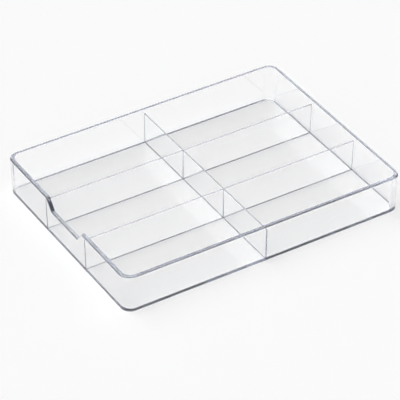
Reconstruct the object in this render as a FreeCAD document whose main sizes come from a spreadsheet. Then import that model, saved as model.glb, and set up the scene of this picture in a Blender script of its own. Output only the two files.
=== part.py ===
"""Clear compartment tray: one injection moulding with a drafted shell, a finger notch in the
front wall, one cross divider and two lengthwise dividers.

Millimetres. +Z is up, +Y runs along the tray, and the notched wall faces -Y. The origin is the
middle of the underside, which lies flat on z = 0.
"""

import FreeCAD
import Part
import math
import os
import Sketcher

# Driving sizes in millimetres, and the two drafts in degrees
SIZES = {
    "tray_length": 330.0,
    "tray_width": 244.0,
    "tray_height": 43.5,
    "wall_thickness": 3.8,
    "floor_thickness": 1.4,
    "wall_draft": 1.2,
    "outer_corner_radius": 11.5,
    "inner_corner_radius": 10.0,
    "base_edge_radius": 0.4,
    "floor_fillet_radius": 1.5,
    "rim_outer_radius": 1.8,
    "rim_inner_radius": 0.3,
    "notch_mouth_width": 71.0,
    "notch_foot_width": 52.0,
    "notch_depth": 12.3,
    "notch_mouth_radius": 2.5,
    "notch_foot_radius": 4.0,
    "lane_pitch": 79.0,
    "divider_height": 38.3,
    "divider_top_thickness": 1.3,
    "divider_draft": 0.5,
    "divider_edge_radius": 0.3,
    "divider_root_radius": 0.3,
    "divider_bite": 0.7,
}

# Points of a sketched line or arc, and a sketch's own origin and axes
START, END, CENTRE = 1, 2, 3
ORIGIN = (-1, 1)
ACROSS, UPRIGHT = -1, -2

TOLERANCE = 0.01


def make_sheet(doc):
    """Puts every driving size in a spreadsheet cell that has the size's name."""
    sheet = doc.addObject("Spreadsheet::Sheet", "Sizes")
    for row, (name, value) in enumerate(SIZES.items(), start=1):
        sheet.set(f"A{row}", name)
        sheet.set(f"B{row}", str(value))
        sheet.setAlias(f"B{row}", name)
    doc.recompute()


def origin_plane(body, role):
    return next(feature for feature in body.Origin.OriginFeatures if feature.Role == role)


def new_sketch(body, name, role, forward="0", sideways="0"):
    """A sketch on an origin plane of the body, moved along the plane's normal and its x axis."""
    sketch = body.newObject("Sketcher::SketchObject", name)
    sketch.AttachmentSupport = (origin_plane(body, role), "")
    sketch.MapMode = "FlatFace"
    sketch.setExpression("AttachmentOffset.Base.z", forward)
    sketch.setExpression("AttachmentOffset.Base.x", sideways)
    return sketch


def constrain(sketch, kind, *places):
    sketch.addConstraint(Sketcher.Constraint(kind, *places))


def dimension(sketch, name, expression, kind, *places):
    """Adds a dimension at its drawn value, then ties it to the spreadsheet."""
    index = sketch.addConstraint(Sketcher.Constraint(kind, *places))
    sketch.renameConstraint(index, name)
    sketch.setExpression(f"Constraints.{name}", expression)


def line(x0, y0, x1, y1):
    return Part.LineSegment(FreeCAD.Vector(x0, y0, 0), FreeCAD.Vector(x1, y1, 0))


def arc(x, y, radius, first, last):
    """An arc about (x, y), anticlockwise from one angle in degrees to another."""
    circle = Part.Circle(FreeCAD.Vector(x, y, 0), FreeCAD.Vector(0, 0, 1), radius)
    return Part.ArcOfCircle(circle, math.radians(first), math.radians(last))


def draw_rim(sketch, inset, radius):
    """A rounded rectangle that lies inside the tray's overall size by a named inset, or on it."""
    margin = SIZES[inset] if inset else 0.0
    x = SIZES["tray_width"] / 2 - margin
    y = SIZES["tray_length"] / 2 - margin
    r = SIZES[radius]
    sketch.addGeometry(
        [
            line(r - x, -y, x - r, -y),
            line(x, r - y, x, y - r),
            line(x - r, y, r - x, y),
            line(-x, y - r, -x, r - y),
            arc(x - r, r - y, r, 270, 360),
            arc(x - r, y - r, r, 0, 90),
            arc(r - x, y - r, r, 90, 180),
            arc(r - x, r - y, r, 180, 270),
        ]
    )
    front, right, back, left = range(4)
    corners = (4, 5, 6, 7)
    for before, corner, after in zip((front, right, back, left), corners, (right, back, left, front)):
        constrain(sketch, "Tangent", before, END, corner, START)
        constrain(sketch, "Tangent", corner, END, after, START)
    for corner in corners[1:]:
        constrain(sketch, "Equal", corners[0], corner)
    constrain(sketch, "Symmetric", front, START, front, END, UPRIGHT)
    constrain(sketch, "Symmetric", right, START, right, END, ACROSS)
    constrain(sketch, "Horizontal", back)
    constrain(sketch, "Vertical", left)
    less = f" - 2 * Sizes.{inset}" if inset else ""
    dimension(sketch, "width", f"Sizes.tray_width{less}", "DistanceX", left, START, right, START, 2 * x)
    dimension(sketch, "length", f"Sizes.tray_length{less}", "DistanceY", front, START, back, START, 2 * y)
    dimension(sketch, "radius", f"Sizes.{radius}", "Radius", corners[0], r)


def draw_notch(sketch):
    """The finger notch seen from the front: a trapezium whose wide side lies along the rim."""
    rim = SIZES["tray_height"]
    foot = rim - SIZES["notch_depth"]
    wide = SIZES["notch_mouth_width"] / 2
    narrow = SIZES["notch_foot_width"] / 2
    sketch.addGeometry(
        [
            line(-narrow, foot, narrow, foot),
            line(narrow, foot, wide, rim),
            line(wide, rim, -wide, rim),
            line(-wide, rim, -narrow, foot),
        ]
    )
    bottom, right, mouth, left = range(4)
    for before, after in ((bottom, right), (right, mouth), (mouth, left), (left, bottom)):
        constrain(sketch, "Coincident", before, END, after, START)
    for side in (bottom, mouth):
        constrain(sketch, "Symmetric", side, START, side, END, UPRIGHT)
    dimension(sketch, "foot", "Sizes.notch_foot_width", "DistanceX", bottom, START, bottom, END, 2 * narrow)
    dimension(sketch, "mouth", "Sizes.notch_mouth_width", "DistanceX", mouth, END, mouth, START, 2 * wide)
    dimension(sketch, "rim", "Sizes.tray_height", "DistanceY", *ORIGIN, mouth, START, rim)
    dimension(sketch, "depth", "Sizes.notch_depth", "DistanceY", bottom, END, right, END, rim - foot)


def draw_divider(sketch):
    """A divider's section: drafted sides, rounded top edges, and filleted roots sunk in the floor."""
    floor = SIZES["floor_thickness"]
    sunk = floor - SIZES["divider_bite"]
    top = SIZES["divider_height"]
    edge = SIZES["divider_edge_radius"]
    root = SIZES["divider_root_radius"]
    slope = math.tan(math.radians(SIZES["divider_draft"]))
    half = SIZES["divider_top_thickness"] / 2
    foot = half + slope * (top - floor)
    sketch.addGeometry(
        [
            line(-foot - root, sunk, foot + root, sunk),
            line(foot + root, sunk, foot + root, floor),
            line(foot, floor + root, half, top - edge),
            line(half - edge, top, edge - half, top),
            line(-half, top - edge, -foot, floor + root),
            line(-foot - root, floor, -foot - root, sunk),
            arc(foot + root, floor + root, root, 180, 270),
            arc(half - edge, top - edge, edge, 0, 90),
            arc(edge - half, top - edge, edge, 90, 180),
            arc(-foot - root, floor + root, root, 270, 360),
        ]
    )
    base, right_sink, right_side, crest, left_side, left_sink = range(6)
    right_root, right_edge, left_edge, left_root = range(6, 10)
    constrain(sketch, "Coincident", base, END, right_sink, START)
    constrain(sketch, "Coincident", right_sink, END, right_root, END)
    constrain(sketch, "Tangent", right_root, START, right_side, START)
    constrain(sketch, "Tangent", right_side, END, right_edge, START)
    constrain(sketch, "Tangent", right_edge, END, crest, START)
    constrain(sketch, "Tangent", crest, END, left_edge, START)
    constrain(sketch, "Tangent", left_edge, END, left_side, START)
    constrain(sketch, "Tangent", left_side, END, left_root, END)
    constrain(sketch, "Coincident", left_root, START, left_sink, START)
    constrain(sketch, "Coincident", left_sink, END, base, START)
    constrain(sketch, "Horizontal", base)
    constrain(sketch, "Vertical", right_sink)
    constrain(sketch, "Vertical", left_sink)
    constrain(sketch, "Vertical", right_root, CENTRE, right_root, END)
    constrain(sketch, "Vertical", left_root, CENTRE, left_root, START)
    constrain(sketch, "Equal", right_root, left_root)
    constrain(sketch, "Equal", right_edge, left_edge)
    constrain(sketch, "Symmetric", right_sink, END, left_sink, START, UPRIGHT)
    constrain(sketch, "Symmetric", right_side, END, left_side, START, UPRIGHT)
    dimension(sketch, "sunk", "Sizes.floor_thickness - Sizes.divider_bite",
              "DistanceY", *ORIGIN, base, START, sunk)
    dimension(sketch, "floor", "Sizes.floor_thickness", "DistanceY", *ORIGIN, right_sink, END, floor)
    dimension(sketch, "top", "Sizes.divider_height", "DistanceY", *ORIGIN, crest, START, top)
    dimension(sketch, "thickness", "Sizes.divider_top_thickness",
              "DistanceX", left_side, START, right_side, END, 2 * half)
    dimension(sketch, "draft", "Sizes.divider_draft * 1 deg",
              "Angle", UPRIGHT, right_side, math.atan(slope))
    dimension(sketch, "edge", "Sizes.divider_edge_radius", "Radius", right_edge, edge)
    dimension(sketch, "root", "Sizes.divider_root_radius", "Radius", right_root, root)


def extrude(body, kind, name, sketch, length, side="One side", down=False, taper="0"):
    """A pad or a pocket of a sketch, with its length and its draft tied to the spreadsheet."""
    feature = body.newObject(f"PartDesign::{kind}", name)
    feature.Profile = sketch
    feature.SideType = side
    feature.Reversed = down
    feature.setExpression("Length", length)
    feature.setExpression("TaperAngle", taper)
    body.Document.recompute()
    return feature


def round_edges(body, name, feature, radius, wanted):
    """Fillets the edges of a feature whose bounding boxes pass a test."""
    edges = enumerate(feature.Shape.Edges, start=1)
    chosen = [f"Edge{number}" for number, edge in edges if wanted(edge.BoundBox)]
    fillet = body.newObject("PartDesign::Fillet", name)
    fillet.Base = (feature, chosen)
    fillet.setExpression("Radius", f"Sizes.{radius}")
    body.Document.recompute()
    return fillet


def lies_at(box, height):
    """True for an edge that lies flat at one height."""
    return abs(box.ZMin - height) < TOLERANCE and abs(box.ZMax - height) < TOLERANCE


def runs_through_front(box):
    """True for an edge that runs straight through the front wall."""
    inside = 2 * SIZES["wall_thickness"] - SIZES["tray_length"] / 2
    return box.XLength < TOLERANCE and box.ZLength < TOLERANCE and box.YMax < inside


def lies_outside(box):
    """True for an edge in the outer half of a wall's thickness."""
    reach_x = (SIZES["tray_width"] - SIZES["wall_thickness"]) / 2
    reach_y = (SIZES["tray_length"] - SIZES["wall_thickness"]) / 2
    return max(-box.XMin, box.XMax) > reach_x or max(-box.YMin, box.YMax) > reach_y


def make_shell(body):
    """The outer form drafted down from the rim, and the cavity drafted down inside it."""
    outline = new_sketch(body, "OuterRim", "XY_Plane", "Sizes.tray_height")
    draw_rim(outline, None, "outer_corner_radius")
    block = extrude(body, "Pad", "OuterForm", outline, "Sizes.tray_height",
                    down=True, taper="-Sizes.wall_draft")
    block = round_edges(body, "BaseEdge", block, "base_edge_radius", lambda box: lies_at(box, 0.0))
    outline = new_sketch(body, "InnerRim", "XY_Plane", "Sizes.tray_height")
    draw_rim(outline, "wall_thickness", "inner_corner_radius")
    cavity = extrude(body, "Pocket", "Cavity", outline, "Sizes.tray_height - Sizes.floor_thickness",
                     taper="-Sizes.wall_draft")
    floor = SIZES["floor_thickness"]
    round_edges(body, "FloorFillet", cavity, "floor_fillet_radius", lambda box: lies_at(box, floor))


def cut_notch(body):
    """The finger notch through the front wall, then the eased edges along the rim and the notch."""
    rim = SIZES["tray_height"]
    foot = rim - SIZES["notch_depth"]
    outline = new_sketch(body, "NotchOutline", "XZ_Plane", "Sizes.tray_length / 2")
    draw_notch(outline)
    notch = extrude(body, "Pocket", "Notch", outline, "2 * Sizes.wall_thickness")
    notch = round_edges(body, "NotchFoot", notch, "notch_foot_radius",
                        lambda box: runs_through_front(box) and lies_at(box, foot))
    notch = round_edges(body, "NotchMouth", notch, "notch_mouth_radius",
                        lambda box: runs_through_front(box) and lies_at(box, rim))

    def along_rim(box):
        return box.ZMin > foot - TOLERANCE and not runs_through_front(box)

    notch = round_edges(body, "InnerRimEdge", notch, "rim_inner_radius",
                        lambda box: along_rim(box) and not lies_outside(box))
    round_edges(body, "OuterRimEdge", notch, "rim_outer_radius",
                lambda box: along_rim(box) and lies_outside(box))


def add_divider(body, name, section, span):
    """A divider along a named overall size, whose ends run a little way into the walls."""
    draw_divider(section)
    length = f"Sizes.{span} - 2 * Sizes.wall_thickness + 2 * Sizes.divider_bite"
    return extrude(body, "Pad", name, section, length, side="Symmetric")


def add_dividers(body):
    """One divider across the tray, and one lengthwise on each side of the middle lane."""
    add_divider(body, "CrossDivider", new_sketch(body, "CrossSection", "YZ_Plane"), "tray_width")
    section = new_sketch(body, "LaneSection", "XZ_Plane", sideways="Sizes.lane_pitch / 2")
    right = add_divider(body, "RightDivider", section, "tray_length")
    left = body.newObject("PartDesign::Mirrored", "LeftDivider")
    left.Originals = [right]
    left.MirrorPlane = (origin_plane(body, "YZ_Plane"), [""])
    body.Tip = left
    body.Document.recompute()


def export(doc, body):
    """Stops at anything that failed, then writes the tray under its own label."""
    for item in doc.Objects:
        if "Invalid" in item.State or "Error" in item.State:
            raise RuntimeError(f"{item.Label} did not compute")
    shape = body.Shape
    if shape.isNull() or not shape.isValid() or len(shape.Solids) != 1:
        raise RuntimeError(f"{body.Label} is not one sound solid")
    os.makedirs("parts", exist_ok=True)
    shape.exportStep(f"parts/{body.Label}.step")
    print(f"{body.Label}: {shape.Volume / 1000:.1f} cubic centimetres, {len(shape.Faces)} faces")


def main():
    doc = FreeCAD.newDocument("compartment_tray")
    make_sheet(doc)
    tray = doc.addObject("PartDesign::Body", "Tray")
    tray.Label = "caddy_tray"
    make_shell(tray)
    cut_notch(tray)
    add_dividers(tray)
    doc.recompute()
    export(doc, tray)


main()
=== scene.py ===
"""A clear moulded compartment tray on a white table, lit like a plain catalogue photograph.

Lengths are in metres and angles in radians, unless a name says otherwise.
"""

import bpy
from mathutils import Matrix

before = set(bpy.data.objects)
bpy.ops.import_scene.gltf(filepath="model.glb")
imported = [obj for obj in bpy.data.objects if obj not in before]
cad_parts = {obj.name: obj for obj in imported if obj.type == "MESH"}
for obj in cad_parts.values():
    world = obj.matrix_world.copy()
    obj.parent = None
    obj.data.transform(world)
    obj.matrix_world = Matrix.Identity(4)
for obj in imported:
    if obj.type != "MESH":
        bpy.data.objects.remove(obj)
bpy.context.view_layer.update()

import math

import bpy
from mathutils import Matrix, Vector


# The tray: one shot of clear polystyrene, moulded between polished steel faces. It is the packed
# solid itself, whose mesh carries its own normals, so its fillets and corners bend light smoothly.
# The plastic is faintly blue, which only shows where light runs far inside the walls.
STYRENE_IOR = 1.59
STYRENE_BLUING = "#AAB3C9"
BLUING_PER_METRE = 10.0
FLOW_SIZE = 0.045
FLOW_DETAIL = 1.0
FLOW_HEIGHT = 0.00002
POLISH_SIZE = 0.012
POLISH_DETAIL = 3.0
POLISH_NOISE = (0.4, 0.7)
POLISH_ROUGHNESS = (0.0, 0.012)


def linear(hex_colour):
    """The linear colour of an sRGB hex value."""
    parts = [int(hex_colour[i:i + 2], 16) / 255 for i in (1, 3, 5)]
    return [c / 12.92 if c <= 0.04045 else ((c + 0.055) / 1.055) ** 2.4 for c in parts] + [1.0]


def add_node(tree, kind, inputs=None, **settings):
    """A shader node. Each input takes a value, or another node and the name of its output."""
    node = tree.nodes.new(kind)
    for name, value in settings.items():
        setattr(node, name, value)
    for socket, value in (inputs or {}).items():
        if isinstance(value, tuple) and isinstance(value[0], bpy.types.Node):
            tree.links.new(value[0].outputs[value[1]], node.inputs[socket])
        else:
            node.inputs[socket].default_value = value
    return node


def new_material(name):
    """A material with an empty node tree."""
    material = bpy.data.materials.new(name)
    material.use_nodes = True
    material.node_tree.nodes.clear()
    return material, material.node_tree


def clear_polystyrene():
    """Polished mould faces, with the slow waves that plastic keeps from flowing and shrinking."""
    material, tree = new_material("clear_polystyrene")
    place = add_node(tree, "ShaderNodeTexCoord")
    flow = add_node(tree, "ShaderNodeTexNoise", {
        "Vector": (place, "Object"), "Scale": 1 / FLOW_SIZE, "Detail": FLOW_DETAIL,
    })
    waves = add_node(tree, "ShaderNodeBump", {
        "Height": (flow, "Fac"), "Strength": 1.0, "Distance": FLOW_HEIGHT,
    })
    polish = add_node(tree, "ShaderNodeTexNoise", {
        "Vector": (place, "Object"), "Scale": 1 / POLISH_SIZE, "Detail": POLISH_DETAIL,
    })
    gloss = add_node(tree, "ShaderNodeMapRange", {
        "Value": (polish, "Fac"), "From Min": POLISH_NOISE[0], "From Max": POLISH_NOISE[1],
        "To Min": POLISH_ROUGHNESS[0], "To Max": POLISH_ROUGHNESS[1],
    })
    shader = add_node(tree, "ShaderNodeBsdfPrincipled", {
        "Base Color": linear("#FFFFFF"), "Roughness": (gloss, "Result"), "Normal": (waves, "Normal"),
        "IOR": STYRENE_IOR, "Transmission Weight": 1.0,
    })
    bluing = add_node(tree, "ShaderNodeVolumeAbsorption", {
        "Color": linear(STYRENE_BLUING), "Density": BLUING_PER_METRE,
    })
    add_node(tree, "ShaderNodeOutputMaterial", {
        "Surface": (shader, "BSDF"), "Volume": (bluing, "Volume"),
    })
    return material


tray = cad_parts["caddy_tray"]
tray.data.materials.clear()
tray.data.materials.append(clear_polystyrene())


# The table: a wide sheet of matt white board. The tray's flat underside lies on it with a film of
# air between, as two hard flat things touch only here and there.
TABLE_SIZE = 8.0
TABLE_GAP = 0.0002
TABLE_WHITE = "#FCFCFC"


def white_board():
    """Matt card, plain and without gloss."""
    material, tree = new_material("white_board")
    shader = add_node(tree, "ShaderNodeBsdfDiffuse", {"Color": linear(TABLE_WHITE)})
    add_node(tree, "ShaderNodeOutputMaterial", {"Surface": (shader, "BSDF")})
    return material


half = TABLE_SIZE / 2
corners = [(-half, -half), (half, -half), (half, half), (-half, half)]
table_mesh = bpy.data.meshes.new("table")
table_mesh.from_pydata([(x, y, -TABLE_GAP) for x, y in corners], [], [range(4)])
table_mesh.materials.append(white_board())
table = bpy.data.objects.new("table", table_mesh)
bpy.context.scene.collection.objects.link(table)


# The light: one wide soft panel, high up on the left, inside a pale room. The room is dark behind
# the tray and on its right, and the edges of the plastic pick up that dark as their grey lines.
# Bearings are counted from +X towards +Y.
ROOM_LEVEL = 0.69
PANEL_LEVEL = 1.66
PANEL_BEARING = math.radians(205.0)
PANEL_ELEVATION = math.radians(68.0)
PANEL_RADIUS = math.radians(34.0)
DARK_LEVEL = 0.03
DARK_BEARING = math.radians(125.0)
DARK_HALF_WIDTH = math.radians(60.0)
DARK_TOP = math.radians(68.0)
SOFT_EDGE = math.radians(8.0)

world = bpy.data.worlds.new("studio")
bpy.context.scene.world = world
world.use_nodes = True
sky = world.node_tree
sky.nodes.clear()
direction = add_node(sky, "ShaderNodeTexCoord")
turned = add_node(sky, "ShaderNodeVectorRotate", {
    "Vector": (direction, "Generated"), "Angle": -DARK_BEARING,
}, rotation_type="Z_AXIS")
axes = add_node(sky, "ShaderNodeSeparateXYZ", {"Vector": (turned, "Vector")})
elevation = add_node(sky, "ShaderNodeMath", {0: (axes, "Z")}, operation="ARCSINE")
bearing = add_node(sky, "ShaderNodeMath", {0: (axes, "Y"), 1: (axes, "X")}, operation="ARCTAN2")
off_bearing = add_node(sky, "ShaderNodeMath", {0: (bearing, "Value")}, operation="ABSOLUTE")
panel_axis = (
    math.cos(PANEL_ELEVATION) * math.cos(PANEL_BEARING),
    math.cos(PANEL_ELEVATION) * math.sin(PANEL_BEARING),
    math.sin(PANEL_ELEVATION),
)
towards = add_node(sky, "ShaderNodeVectorMath", {
    0: (direction, "Generated"), 1: panel_axis,
}, operation="DOT_PRODUCT")
off_panel = add_node(sky, "ShaderNodeMath", {0: (towards, "Value")}, operation="ARCCOSINE")

# Each of these rises from 0 to 1 over a soft edge: beside the dark, above it, and off the panel.
edges = ((off_bearing, DARK_HALF_WIDTH), (elevation, DARK_TOP), (off_panel, PANEL_RADIUS))
beside, above, outside = [
    add_node(sky, "ShaderNodeMapRange", {
        "Value": (angle, "Value"), "From Min": edge - SOFT_EDGE / 2, "From Max": edge + SOFT_EDGE / 2,
    }, interpolation_type="SMOOTHSTEP")
    for angle, edge in edges
]
pale = add_node(sky, "ShaderNodeMath", {0: (beside, "Result"), 1: (above, "Result")}, operation="MAXIMUM")
room = add_node(sky, "ShaderNodeMath", {
    0: (pale, "Value"), 1: ROOM_LEVEL - DARK_LEVEL, 2: DARK_LEVEL,
}, operation="MULTIPLY_ADD")
inside = add_node(sky, "ShaderNodeMath", {0: 1.0, 1: (outside, "Result")}, operation="SUBTRACT")
level = add_node(sky, "ShaderNodeMath", {
    0: (inside, "Value"), 1: PANEL_LEVEL, 2: (room, "Value"),
}, operation="MULTIPLY_ADD")
glow = add_node(sky, "ShaderNodeBackground", {
    "Color": linear("#FFFFFF"), "Strength": (level, "Value"),
})
add_node(sky, "ShaderNodeOutputWorld", {"Surface": (glow, "Background")})

# Light that runs inside the walls turns back many times before it finds a way out.
WALL_BOUNCES = 256
TABLE_BOUNCES = 32

cycles = bpy.context.scene.cycles
cycles.max_bounces = WALL_BOUNCES
cycles.transmission_bounces = WALL_BOUNCES
cycles.glossy_bounces = WALL_BOUNCES
cycles.diffuse_bounces = TABLE_BOUNCES
cycles.sample_clamp_indirect = 0.0
cycles.blur_glossy = 0.0
bpy.context.scene.view_settings.view_transform = "Standard"


# The camera: a long lens from the notched end's right-hand side, as in the photograph.
CAMERA_AZIMUTH = math.radians(57.92)
CAMERA_ELEVATION = math.radians(36.92)
CAMERA_ROLL = math.radians(0.32)
CAMERA_DISTANCE = 2.5139
CAMERA_LENS_MM = 218.15
CAMERA_NEAR = 0.1
CAMERA_FAR = 50.0
AIM_RIGHT = -0.00326
AIM_UP = -0.01871
AIM_HEIGHT = 0.02167

back = Vector((
    math.sin(CAMERA_AZIMUTH) * math.cos(CAMERA_ELEVATION),
    -math.cos(CAMERA_AZIMUTH) * math.cos(CAMERA_ELEVATION),
    math.sin(CAMERA_ELEVATION),
))
right = Vector((math.cos(CAMERA_AZIMUTH), math.sin(CAMERA_AZIMUTH), 0.0))
up = back.cross(right)
aim = Vector((0.0, 0.0, AIM_HEIGHT)) + right * AIM_RIGHT + up * AIM_UP
rolled_right = right * math.cos(CAMERA_ROLL) + up * math.sin(CAMERA_ROLL)
rolled_up = up * math.cos(CAMERA_ROLL) - right * math.sin(CAMERA_ROLL)
rotation = Matrix((rolled_right, rolled_up, back)).transposed()
camera_data = bpy.data.cameras.new("camera")
camera_data.lens = CAMERA_LENS_MM
camera_data.clip_start = CAMERA_NEAR
camera_data.clip_end = CAMERA_FAR
camera = bpy.data.objects.new("camera", camera_data)
camera.matrix_world = Matrix.Translation(aim + back * CAMERA_DISTANCE) @ rotation.to_4x4()
bpy.context.scene.collection.objects.link(camera)
bpy.context.scene.camera = camera
